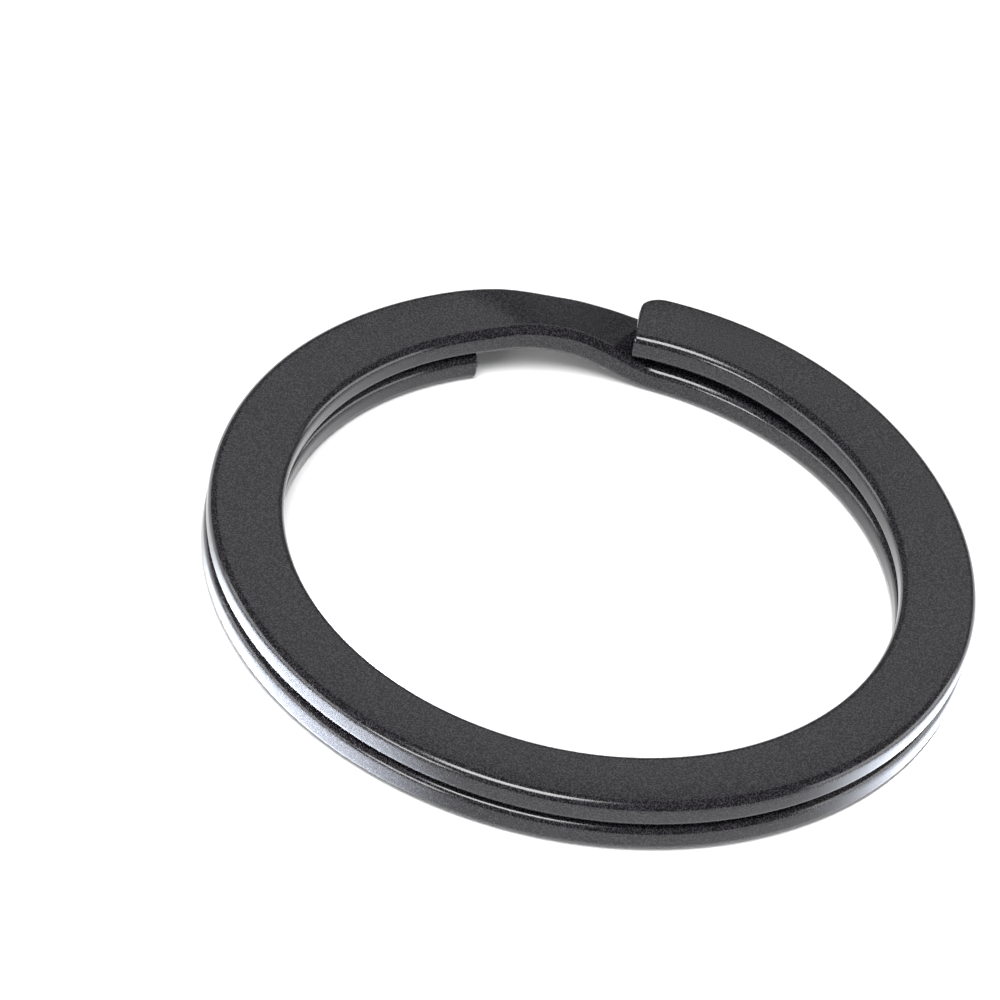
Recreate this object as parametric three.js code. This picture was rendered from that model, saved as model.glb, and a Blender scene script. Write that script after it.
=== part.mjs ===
// Split key ring: one flat strip of spring steel wound twice round, painted black.
// A joggle, a short S-bend at the back, carries the strip from the lower coil to the upper one.
// The strip is also rolled a few degrees there, so its inner edge stands higher.
// Each coil ends in a free end beside the joggle, and the upper one stands a little proud of
// its coil, so that a key can be threaded in under it.
// The strip flexes all along its length, so each coil is a chain of short sprung stretches.
// Millimetres. +Z is the ring's axis, the joggle is at +Y, and the ring lies flat on z = 0.
import * as THREE from 'three';

// Driving dimensions
const outerDiameter = 32;
const stripWidth = 3.15;
const stripThickness = 1.2;
const edgeRadius = 0.4; // the strip's rolled edges
const coilGap = 0.1; // air between the two coils at rest
const endDistance = 3.6; // along the strip, from the middle between the free ends to each
const endCornerRadius = 1; // outer corner of a free end, seen from above
const gentleBendMiddle = 0; // the joggle drops in two bends, a gentle one and a steep one
const steepBendMiddle = -2.9; // along the strip, from the middle between the free ends
const bendHalfLength = 2.2;
const gentleShare = 0.35; // of the whole drop
const rollDegrees = 10.5; // the joggle's roll at its steepest
const rollMiddle = -0.3;
const rollHalfLength = 4.2;
const proudHeight = 0.3; // how far the upper coil rises towards its free end
const proudFromEnd = 4; // where it rises most, measured back from the free end
const proudHalfLength = 14;
const joggleSpanDegrees = 52; // the stiff stretch that both coils spring from
const stretchesPerCoil = 12; // the last one of each coil is its free end
const flexSlot = 0.25; // clearance between neighbouring stretches
const facetsPerStretch = 8;
const facetsPerJoggle = 32;
const facetsPerCorner = 3;
const slopeStep = 0.02; // the length of strip that its pitch is worked out over

// Sizes that follow from them
const middleRadius = (outerDiameter - stripWidth) / 2;
const coilPitch = stripThickness + coilGap;
const onceRound = 2 * Math.PI * middleRadius;
const joggleReach = THREE.MathUtils.degToRad(joggleSpanDegrees / 2) * middleRadius;
const coilEnd = onceRound - endDistance;
const stretchLength = (coilEnd - joggleReach) / stretchesPerCoil;

// A swell that is 1 at its middle and fades to 0 at its half length on either side.
function swell(offset, halfLength) {
  const place = THREE.MathUtils.clamp(offset / halfLength, -1, 1);
  return Math.cos((place * Math.PI) / 2) ** 2;
}

// The share of a bend's climb that is done at an offset from its middle.
function bendClimb(offset) {
  const place = THREE.MathUtils.clamp(offset / bendHalfLength, -1, 1);
  return (2 + 3 * place - place ** 3) / 4;
}

// Distances run along the strip from the middle between the free ends: up the joggle's slope
// and round the upper coil when positive, down it and round the lower coil when negative.
function middleHeight(distance) {
  const gentleClimb = gentleShare * bendClimb(distance - gentleBendMiddle);
  const steepClimb = (1 - gentleShare) * bendClimb(distance - steepBendMiddle);
  const climb = gentleClimb + steepClimb;
  const proud = proudHeight * swell(distance - (coilEnd - proudFromEnd), proudHalfLength);
  return stripThickness / 2 + coilPitch * climb + proud;
}

function middleLine(distance) {
  const rise = middleHeight(distance + slopeStep / 2) - middleHeight(distance - slopeStep / 2);
  return {
    angle: Math.PI / 2 + distance / middleRadius,
    height: middleHeight(distance),
    pitch: Math.atan(rise / slopeStep),
    roll: THREE.MathUtils.degToRad(rollDegrees) * swell(distance - rollMiddle, rollHalfLength),
  };
}

// The strip's cross-section: x points away from the ring's axis and y points up.
function stripSection() {
  const side = stripWidth / 2 - edgeRadius;
  const top = stripThickness / 2 - edgeRadius;
  const section = new THREE.Shape();
  section.absarc(side, -top, edgeRadius, -Math.PI / 2, 0);
  section.absarc(side, top, edgeRadius, 0, Math.PI / 2);
  section.absarc(-side, top, edgeRadius, Math.PI / 2, Math.PI);
  section.absarc(-side, -top, edgeRadius, Math.PI, 1.5 * Math.PI);
  section.closePath();
  return section;
}

// How much of the strip's outer side the rounded corner of a free end takes away.
function cornerCut(distanceFromEnd) {
  const reach = Math.max(0, endCornerRadius - distanceFromEnd);
  return endCornerRadius - Math.sqrt(endCornerRadius ** 2 - reach ** 2);
}

// A straight strip with a section at each station, bent onto the ring. Stations run from
// the highest distance to the lowest, which keeps the faces outwards.
function bentStrip(stations, roundedEndAt) {
  const steps = stations.length - 1;
  const strip = new THREE.ExtrudeGeometry(stripSection(), {
    depth: steps,
    steps,
    curveSegments: 3,
    bevelEnabled: false,
  });
  const position = strip.getAttribute('position');
  for (let i = 0; i < position.count; i += 1) {
    const distance = stations[Math.round(position.getZ(i))];
    const line = middleLine(distance);
    const endGap = roundedEndAt === undefined ? endCornerRadius : Math.abs(roundedEndAt - distance);
    const squeeze = 1 - cornerCut(endGap) / stripWidth;
    const across = (position.getX(i) + stripWidth / 2) * squeeze - stripWidth / 2;
    const above = position.getY(i);
    const outwards = across * Math.cos(line.roll) + above * Math.sin(line.roll);
    const up = above * Math.cos(line.roll) - across * Math.sin(line.roll);
    const radius = middleRadius + outwards;
    const angle = line.angle - (up * Math.sin(line.pitch)) / middleRadius;
    position.setXYZ(
      i,
      radius * Math.cos(angle),
      radius * Math.sin(angle),
      line.height + up * Math.cos(line.pitch),
    );
  }
  strip.computeVertexNormals();
  return strip;
}

function evenStations(from, to, facets) {
  return Array.from({ length: facets + 1 }, (_, i) => THREE.MathUtils.lerp(from, to, i / facets));
}

// Stations of a free end's stretch, closer together round its corner.
function endStations(from, to) {
  const inwards = Math.sign(from - to);
  const corner = Array.from({ length: facetsPerCorner }, (_, i) => {
    const turn = ((i + 1) / facetsPerCorner) * (Math.PI / 2);
    return to + inwards * endCornerRadius * (1 - Math.cos(turn));
  });
  const straight = evenStations(from, to + inwards * endCornerRadius, facetsPerStretch).slice(0, -1);
  return [...straight, ...corner.reverse(), to];
}

const ring = new THREE.Group();

function addStretch(name, stations, roundedEndAt) {
  const fromHighest = [...stations].sort((a, b) => b - a);
  const paintedSteel = new THREE.MeshStandardMaterial({
    color: 0x3b3a3e,
    roughness: 0.35,
    metalness: 0.85,
  });
  const mesh = new THREE.Mesh(bentStrip(fromHighest, roundedEndAt), paintedSteel);
  mesh.name = name;
  ring.add(mesh);
}

// One coil, from the joggle to its free end. side is 1 for the upper coil and -1 for the lower.
function addCoil(coilName, side) {
  for (let n = 1; n <= stretchesPerCoil; n += 1) {
    const from = side * (joggleReach + (n - 1) * stretchLength + flexSlot / 2);
    if (n === stretchesPerCoil) {
      const end = side * coilEnd;
      addStretch(`${coilName}_free_end`, endStations(from, end), end);
    } else {
      const to = side * (joggleReach + n * stretchLength - flexSlot / 2);
      const name = `${coilName}_coil_stretch_${String(n).padStart(2, '0')}`;
      addStretch(name, evenStations(from, to, facetsPerStretch));
    }
  }
}

const joggleEnd = joggleReach - flexSlot / 2;
addStretch('joggle_bend', evenStations(joggleEnd, -joggleEnd, facetsPerJoggle));
addCoil('upper', 1);
addCoil('lower', -1);

export default ring;
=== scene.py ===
# A flat-strip split key ring: a spring steel strip wound twice round, with black electrocoat.
# Everything is in metres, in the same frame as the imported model: +Z is the ring's axis.
import math
import bpy
from mathutils import Euler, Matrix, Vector


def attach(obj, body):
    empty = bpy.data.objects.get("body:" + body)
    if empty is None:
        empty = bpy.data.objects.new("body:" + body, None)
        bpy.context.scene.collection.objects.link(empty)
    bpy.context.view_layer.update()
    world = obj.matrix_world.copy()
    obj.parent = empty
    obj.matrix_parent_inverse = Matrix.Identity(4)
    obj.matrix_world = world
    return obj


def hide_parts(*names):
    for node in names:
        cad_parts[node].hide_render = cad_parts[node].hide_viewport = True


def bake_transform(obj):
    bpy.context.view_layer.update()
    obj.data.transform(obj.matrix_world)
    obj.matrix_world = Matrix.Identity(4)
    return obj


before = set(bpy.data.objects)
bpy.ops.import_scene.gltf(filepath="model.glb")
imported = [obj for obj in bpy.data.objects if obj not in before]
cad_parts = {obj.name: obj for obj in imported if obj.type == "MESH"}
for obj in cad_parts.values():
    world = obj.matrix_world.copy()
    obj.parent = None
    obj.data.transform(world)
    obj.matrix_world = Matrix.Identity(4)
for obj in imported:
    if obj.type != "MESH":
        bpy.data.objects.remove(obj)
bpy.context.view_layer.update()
mm = 0.001

# The strip and the shape it is formed to. Distances along it run from the middle between the
# free ends: up the joggle and round the upper coil when positive, down and round the lower.
strip = {
    "width": 3.15 * mm,
    "thickness": 1.2 * mm,
    "shoulder": 0.4 * mm,        # rolled edges: how far the rounding reaches in from the side
    "shoulderSegments": 10,
    "coilGap": 0.1 * mm,
    "outerRadius": 16 * mm,
    "stepDegrees": 0.45,         # spin step
    "mergeWithin": 0.002 * mm,
    "slopeStep": 0.01 * mm,      # the pitch at a place is taken this far to either side of it
    "smoothDegrees": 40,         # sharper edges than this stay crisp
}
joggle = {
    "reachDegrees": 26,          # how far it runs either side of the middle
    "gentleBendMiddle": 0,
    "steepBendMiddle": -2.9 * mm,
    "bendHalfLength": 2.2 * mm,
    "gentleShare": 0.35,
    "rollDegrees": 10.5,         # inner edge up
    "rollMiddle": -0.3 * mm,
    "rollHalfLength": 4.2 * mm,
}
freeEnd = {
    "distance": 3.6 * mm,        # from the middle to each free end
    "cornerRadius": 1 * mm,      # outer corner, in plan
    "rimRadius": 0.12 * mm,      # edge round the sheared face
    "fineLength": 1.2 * mm,      # closer steps near the end
    "fineSteps": 24,
    "proudHeight": 0.3 * mm,     # the upper end stands a little proud of its coil
    "proudFromEnd": 4 * mm,
    "proudHalfLength": 14 * mm,
}
stretchesPerCoil = 12
middleRadius = strip["outerRadius"] - strip["width"] / 2
coilPitch = strip["thickness"] + strip["coilGap"]
coilEnd = 2 * math.pi * middleRadius - freeEnd["distance"]
joggleReach = math.radians(joggle["reachDegrees"]) * middleRadius
stretchLength = (coilEnd - joggleReach) / stretchesPerCoil


def startClean():
    if bpy.context.mode != "OBJECT":
        bpy.ops.object.mode_set(mode="OBJECT")
    bpy.ops.object.select_all(action="DESELECT")


def clamp(value, low, high):
    return max(low, min(high, value))


def bendClimb(offset):
    place = clamp(offset / joggle["bendHalfLength"], -1, 1)
    return (2 + 3 * place - place ** 3) / 4


def swell(offset, halfLength):
    return math.cos(clamp(offset / halfLength, -1, 1) * math.pi / 2) ** 2


def middleHeight(distance):
    gentle = joggle["gentleShare"] * bendClimb(distance - joggle["gentleBendMiddle"])
    steep = (1 - joggle["gentleShare"]) * bendClimb(distance - joggle["steepBendMiddle"])
    fromPeak = distance - (coilEnd - freeEnd["proudFromEnd"])
    proud = freeEnd["proudHeight"] * swell(fromPeak, freeEnd["proudHalfLength"])
    return strip["thickness"] / 2 + coilPitch * (gentle + steep) + proud


# Moves a strip that was spun flat at the origin's height onto its real line: height, pitch,
# roll, and the rounded corner and rim of a free end.
def formStrip(obj, fromDistance, toDistance, tipAt=None):
    middle = (fromDistance + toDistance) / 2
    middleAngle = math.pi / 2 + middle / middleRadius
    for v in obj.data.vertices:
        radius = math.hypot(v.co.x, v.co.y)
        turn = math.atan2(v.co.y, v.co.x) - middleAngle
        turn = (turn + math.pi) % (2 * math.pi) - math.pi
        distance = middle + turn * middleRadius
        across, above = radius - middleRadius, v.co.z
        if tipAt is not None:
            fromTip = max(0, abs(tipAt - distance))
            cornerShort = max(0, freeEnd["cornerRadius"] - fromTip)
            cut = freeEnd["cornerRadius"] - math.sqrt(freeEnd["cornerRadius"] ** 2 - cornerShort ** 2)
            rimShort = max(0, freeEnd["rimRadius"] - fromTip)
            inset = freeEnd["rimRadius"] - math.sqrt(freeEnd["rimRadius"] ** 2 - rimShort ** 2)
            halfWidth = strip["width"] / 2
            across = (across + halfWidth) * (1 - (cut + 2 * inset) / strip["width"]) - halfWidth + inset
            above *= 1 - 2 * inset / strip["thickness"]
        step = strip["slopeStep"]
        rise = middleHeight(distance + step) - middleHeight(distance - step)
        pitch = math.atan(rise / (2 * step))
        rollPart = swell(distance - joggle["rollMiddle"], joggle["rollHalfLength"])
        roll = math.radians(joggle["rollDegrees"]) * rollPart
        outwards = across * math.cos(roll) + above * math.sin(roll)
        up = above * math.cos(roll) - across * math.sin(roll)
        angle = middleAngle + turn - up * math.sin(pitch) / middleRadius
        radius = middleRadius + outwards
        height = middleHeight(distance) + up * math.cos(pitch)
        v.co = (radius * math.cos(angle), radius * math.sin(angle), height)


# The strip's section as a plane standing across the strip at the given distance, its edges
# rounded as rolled strip's are, left in edit mode with the plane selected.
def addSection(name, distance):
    startClean()
    angle = math.pi / 2 + distance / middleRadius
    bpy.ops.mesh.primitive_plane_add(size=1, location=(0, 0, 0))
    obj = bpy.context.object
    obj.name = name
    obj.data.name = name
    bpy.ops.object.mode_set(mode="EDIT")
    bpy.ops.mesh.select_all(action="SELECT")
    bpy.ops.transform.resize(value=(strip["width"], strip["thickness"], 1))
    bpy.ops.mesh.select_mode(type="VERT")
    bpy.ops.mesh.select_all(action="SELECT")
    bpy.ops.mesh.bevel(offset=strip["shoulder"], segments=strip["shoulderSegments"], profile=0.5,
                       affect="VERTICES")
    bpy.ops.object.mode_set(mode="OBJECT")
    mesh = obj.data
    # stand it up across the strip
    placed = Euler((math.pi / 2, 0, angle)).to_matrix().to_4x4()
    placed.translation = (middleRadius * math.cos(angle), middleRadius * math.sin(angle), 0)
    mesh.transform(placed)
    bpy.ops.object.mode_set(mode="EDIT")
    bpy.ops.mesh.select_all(action="SELECT")
    return obj


def spinOn(angle, steps):  # anticlockwise seen from above when positive
    bpy.ops.mesh.spin(steps=steps, angle=angle, center=(0, 0, 0), axis=(0, 0, -1))


def addStrip(name, fromDistance, toDistance, tipAt=None):
    obj = addSection(name, fromDistance)
    turn = (toDistance - fromDistance) / middleRadius
    direction = math.copysign(1, turn)
    fine = freeEnd["fineLength"] / middleRadius if tipAt is not None else 0
    coarse = abs(turn) - fine
    spinOn(direction * coarse, round(math.degrees(coarse) / strip["stepDegrees"]))
    if tipAt is not None:
        spinOn(direction * fine, freeEnd["fineSteps"])
    bpy.ops.mesh.select_all(action="SELECT")
    bpy.ops.mesh.remove_doubles(threshold=strip["mergeWithin"])
    bpy.ops.mesh.select_all(action="DESELECT")
    bpy.ops.mesh.select_non_manifold()
    bpy.ops.mesh.edge_face_add()
    bpy.ops.mesh.select_all(action="SELECT")
    bpy.ops.mesh.normals_make_consistent(inside=False)
    bpy.ops.object.mode_set(mode="OBJECT")
    formStrip(obj, fromDistance, toDistance, tipAt)
    bpy.ops.object.shade_smooth_by_angle(angle=math.radians(strip["smoothDegrees"]))
    return obj


pieces = []
piece = addStrip("joggle_strip", -joggleReach, joggleReach)
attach(piece, "joggle")
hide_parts("joggle_bend")
pieces.append(piece)
print("joggle made:", len(piece.data.vertices), "vertices")

for coil, side in (("upper", 1), ("lower", -1)):
    for n in range(1, stretchesPerCoil + 1):
        last = n == stretchesPerCoil
        body = f"{coil}_free_end" if last else f"{coil}_coil_stretch_{n:02d}"
        hinge = joggleReach + (n - 1) * stretchLength
        start = hinge if n == 1 else hinge - stretchLength / 2
        bendEnd = hinge + stretchLength / 2
        stop = coilEnd if last else bendEnd
        tipAt = side * coilEnd if last else None
        name = f"{coil}_tip_strip" if last else f"{coil}_strip_{n:02d}"
        piece = addStrip(name, side * start, side * stop, tipAt)
        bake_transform(piece)
        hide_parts(body)
        pieces.append(piece)
    print(coil, "coil made")


def linear(hexColour):
    channels = [int(hexColour[i:i + 2], 16) / 255 for i in (1, 3, 5)]
    return [c / 12.92 if c <= 0.04045 else ((c + 0.055) / 1.055) ** 2.4 for c in channels] + [1]


def addNode(material, kind, settings, links):
    tree = material.node_tree
    node = tree.nodes.new(kind)
    for key, value in settings.items():
        if isinstance(key, str) and hasattr(node, key):
            setattr(node, key, value)
        else:
            node.inputs[key].default_value = value
    for key, source in links.items():
        tree.links.new(source, node.inputs[key])
    return node


# Electrocoat on rolled spring steel: a thin black paint film that flows out semi-gloss. It gives
# a dark surface with soft, slightly uneven reflections, fine pale grain and the odd speck of dust.
coating = {
    "black": "#040405",
    "paleGrain": "#312f34",
    "speck": "#a8a8ac",
    "roughness": 0.17,
    "roughnessSpread": 0.03,
    "grainSize": 0.07 * mm,      # real filler and phosphate tooth are finer; drawn so that it shows
    "grainDetail": 1.5,
    "grainRoughness": 0.6,
    "grainFrom": 0.46,           # noise level where the pale grain begins, and where it is full
    "grainFull": 0.6,
    "toothHeight": 0.002 * mm,
    "flowSize": 1.6 * mm,        # slow unevenness where the wet film flowed
    "flowHeight": 0.002 * mm,
    "flowDetail": 3.0,
    "speckSpacing": 3.2 * mm,
    "speckRadius": 0.035 * mm,
    "refraction": 1.5,           # a resin film
}


def makeElectrocoat():
    material = bpy.data.materials.new("black_electrocoat")
    material.use_nodes = True
    material.node_tree.nodes.clear()
    place = addNode(material, "ShaderNodeTexCoord", {}, {}).outputs["Object"]
    grain = addNode(material, "ShaderNodeTexNoise",
                    {"Scale": 1 / coating["grainSize"], "Detail": coating["grainDetail"],
                     "Roughness": coating["grainRoughness"]},
                    {"Vector": place}).outputs["Fac"]
    flow = addNode(material, "ShaderNodeTexNoise",
                   {"Scale": 1 / coating["flowSize"], "Detail": coating["flowDetail"]},
                   {"Vector": place}).outputs["Fac"]
    # grains of filler near the film's surface scatter a little light
    grainShare = addNode(material, "ShaderNodeMapRange",
                         {"From Min": coating["grainFrom"], "From Max": coating["grainFull"]},
                         {"Value": grain}).outputs["Result"]
    grainColour = addNode(material, "ShaderNodeMix",
                          {"data_type": "RGBA", 6: linear(coating["black"]),
                           7: linear(coating["paleGrain"])},
                          {"Factor": grainShare}).outputs[2]
    # dust caught in the film: one small dot in each cell, seen where the surface cuts through it
    cells = addNode(material, "ShaderNodeTexVoronoi",
                    {"Scale": 1 / coating["speckSpacing"]}, {"Vector": place})
    nearDot = addNode(material, "ShaderNodeMath",
                      {"operation": "LESS_THAN", 1: coating["speckRadius"] / coating["speckSpacing"]},
                      {0: cells.outputs["Distance"]}).outputs[0]
    speckColour = addNode(material, "ShaderNodeMix",
                          {"data_type": "RGBA", 7: linear(coating["speck"])},
                          {"Factor": nearDot, 6: grainColour}).outputs[2]
    rough = addNode(material, "ShaderNodeMapRange",
                    {"To Min": coating["roughness"] - coating["roughnessSpread"],
                     "To Max": coating["roughness"] + coating["roughnessSpread"]},
                    {"Value": flow})
    toothBump = addNode(material, "ShaderNodeBump",
                        {"Strength": 1.0, "Distance": coating["toothHeight"]}, {"Height": grain})
    flowBump = addNode(material, "ShaderNodeBump",
                       {"Strength": 1.0, "Distance": coating["flowHeight"]},
                       {"Height": flow, "Normal": toothBump.outputs["Normal"]})
    shader = addNode(material, "ShaderNodeBsdfPrincipled",
                     {"IOR": coating["refraction"], "Metallic": 0.0},
                     {"Base Color": speckColour, "Roughness": rough.outputs["Result"],
                      "Normal": flowBump.outputs["Normal"]})
    addNode(material, "ShaderNodeOutputMaterial", {}, {"Surface": shader.outputs["BSDF"]})
    return material


electrocoat = makeElectrocoat()
for piece in pieces:
    piece.data.materials.append(electrocoat)
print("coating made")

# Studio: a pale paper floor, a dim surround, a white panel behind, and soft boxes at the sides,
# in front and overhead
studio = {
    "floorSize": 6,
    "floorDrop": 0.02 * mm,
    "floorColour": "#f4f4f5",
    "floorRoughness": 0.6,
    "surroundColour": "#ffffff",
    "surroundStrength": 0.25,
    "poolColour": "#e9f1ff",
    "poolLampRadius": 2 * mm,
    "poolBlend": 1,
}
# place, aim, width and height in metres, and brightness in watts per square metre per
# steradian; the paper lamps are linked to the paper alone, so that they leave the coating dark
lamps = {
    "back_panel": {
        "place": (0.16, 0.2, 0.1855), "aim": (0.16, 0, 0.1855), "size": (0.4, 0.101), "brightness": 0.66,
    },
    "soft_box_left": {
        "place": (-0.4, 0.03, 0.09), "aim": (0, 0, 0.09), "size": (0.4, 0.18), "brightness": 4,
    },
    "soft_box_right": {
        "place": (0.4, -0.04, 0.09), "aim": (0, 0, 0.09), "size": (0.4, 0.18), "brightness": 4,
    },
    "front_left_box": {
        "place": (-0.31, -0.25, 0.13), "aim": (0, 0, 0), "size": (0.16, 0.1), "brightness": 14,
    },
    "overhead_box": {
        "place": (-0.08, -0.15, 0.41), "aim": (0, 0, 0), "size": (0.2, 0.2), "brightness": 16.5,
    },
    "paper_light_back": {
        "place": (0, 0.6, 1.1), "aim": (0, 0, 0), "size": (0.9, 0.9), "brightness": 1.2, "paperOnly": True,
    },
    "paper_light_front": {
        "place": (0, -0.6, 1.1), "aim": (0, 0, 0), "size": (0.9, 0.9), "brightness": 1.2, "paperOnly": True,
    },
}
# Small pools of light on the paper, close beside the ring: its outer walls mirror them as bright
# bands. Each lamp points straight down, and brightness is that of white paper in mid pool.
paperPools = {
    "paper_pool_left": {"place": (-0.0155, -0.0085, 0.04), "spreadDegrees": 28, "brightness": 12},
    "paper_pool_right": {"place": (0.0165, -0.0105, 0.04), "spreadDegrees": 24, "brightness": 7},
}
startClean()
bpy.ops.mesh.primitive_plane_add(size=studio["floorSize"], location=(0, 0, -studio["floorDrop"]))
floor = bpy.context.object
floor.name = "floor"
floorPaper = bpy.data.materials.new("white_paper")
floorPaper.use_nodes = True
floorShader = floorPaper.node_tree.nodes["Principled BSDF"]
floorShader.inputs["Base Color"].default_value = linear(studio["floorColour"])
floorShader.inputs["Roughness"].default_value = studio["floorRoughness"]
floorShader.inputs["Specular IOR Level"].default_value = 0.0  # matt paper
floor.data.materials.append(floorPaper)
paperAlone = bpy.data.collections.new("paper_alone")
paperAlone.objects.link(floor)

world = bpy.data.worlds.new("white_surround")
world.use_nodes = True
bpy.context.scene.world = world
background = world.node_tree.nodes["Background"]
background.inputs["Color"].default_value = linear(studio["surroundColour"])
background.inputs["Strength"].default_value = studio["surroundStrength"]

for name, lamp in lamps.items():
    startClean()
    bpy.ops.object.light_add(type="AREA", location=lamp["place"])
    light = bpy.context.object
    light.name = name
    towards = Vector(lamp["aim"]) - Vector(lamp["place"])
    light.rotation_euler = towards.to_track_quat("-Z", "Y").to_euler()
    light.data.shape = "RECTANGLE"
    light.data.size, light.data.size_y = lamp["size"]
    light.data.energy = lamp["brightness"] * math.pi * lamp["size"][0] * lamp["size"][1]
    light.visible_camera = False
    if lamp.get("paperOnly"):
        light.light_linking.receiver_collection = paperAlone
for name, spot in paperPools.items():
    startClean()
    bpy.ops.object.light_add(type="SPOT", location=spot["place"])
    light = bpy.context.object
    light.name = name
    light.data.spot_size = math.radians(spot["spreadDegrees"])
    light.data.spot_blend = studio["poolBlend"]
    light.data.shadow_soft_size = studio["poolLampRadius"]
    light.data.color = linear(studio["poolColour"])[:3]
    light.data.energy = spot["brightness"] * (2 * math.pi * spot["place"][2]) ** 2
    light.visible_camera = False
    light.light_linking.receiver_collection = paperAlone
print("studio made")

camera = {
    "place": (-96.139 * mm, -354.1 * mm, 318.656 * mm),
    "turnDegrees": (48.688, -9.2249, -6.5254),
    "lens": 424.3,
    "sensorWidth": 36,
    "seesFrom": 0.01,
    "seesTo": 100,
}
startClean()
cameraTurn = [math.radians(angle) for angle in camera["turnDegrees"]]
bpy.ops.object.camera_add(location=camera["place"], rotation=cameraTurn)
cameraObject = bpy.context.object
cameraObject.name = "camera"
cameraObject.data.lens = camera["lens"]
cameraObject.data.sensor_width = camera["sensorWidth"]
cameraObject.data.clip_start = camera["seesFrom"]
cameraObject.data.clip_end = camera["seesTo"]
bpy.context.scene.camera = cameraObject
bpy.context.scene.view_settings.view_transform = "Standard"
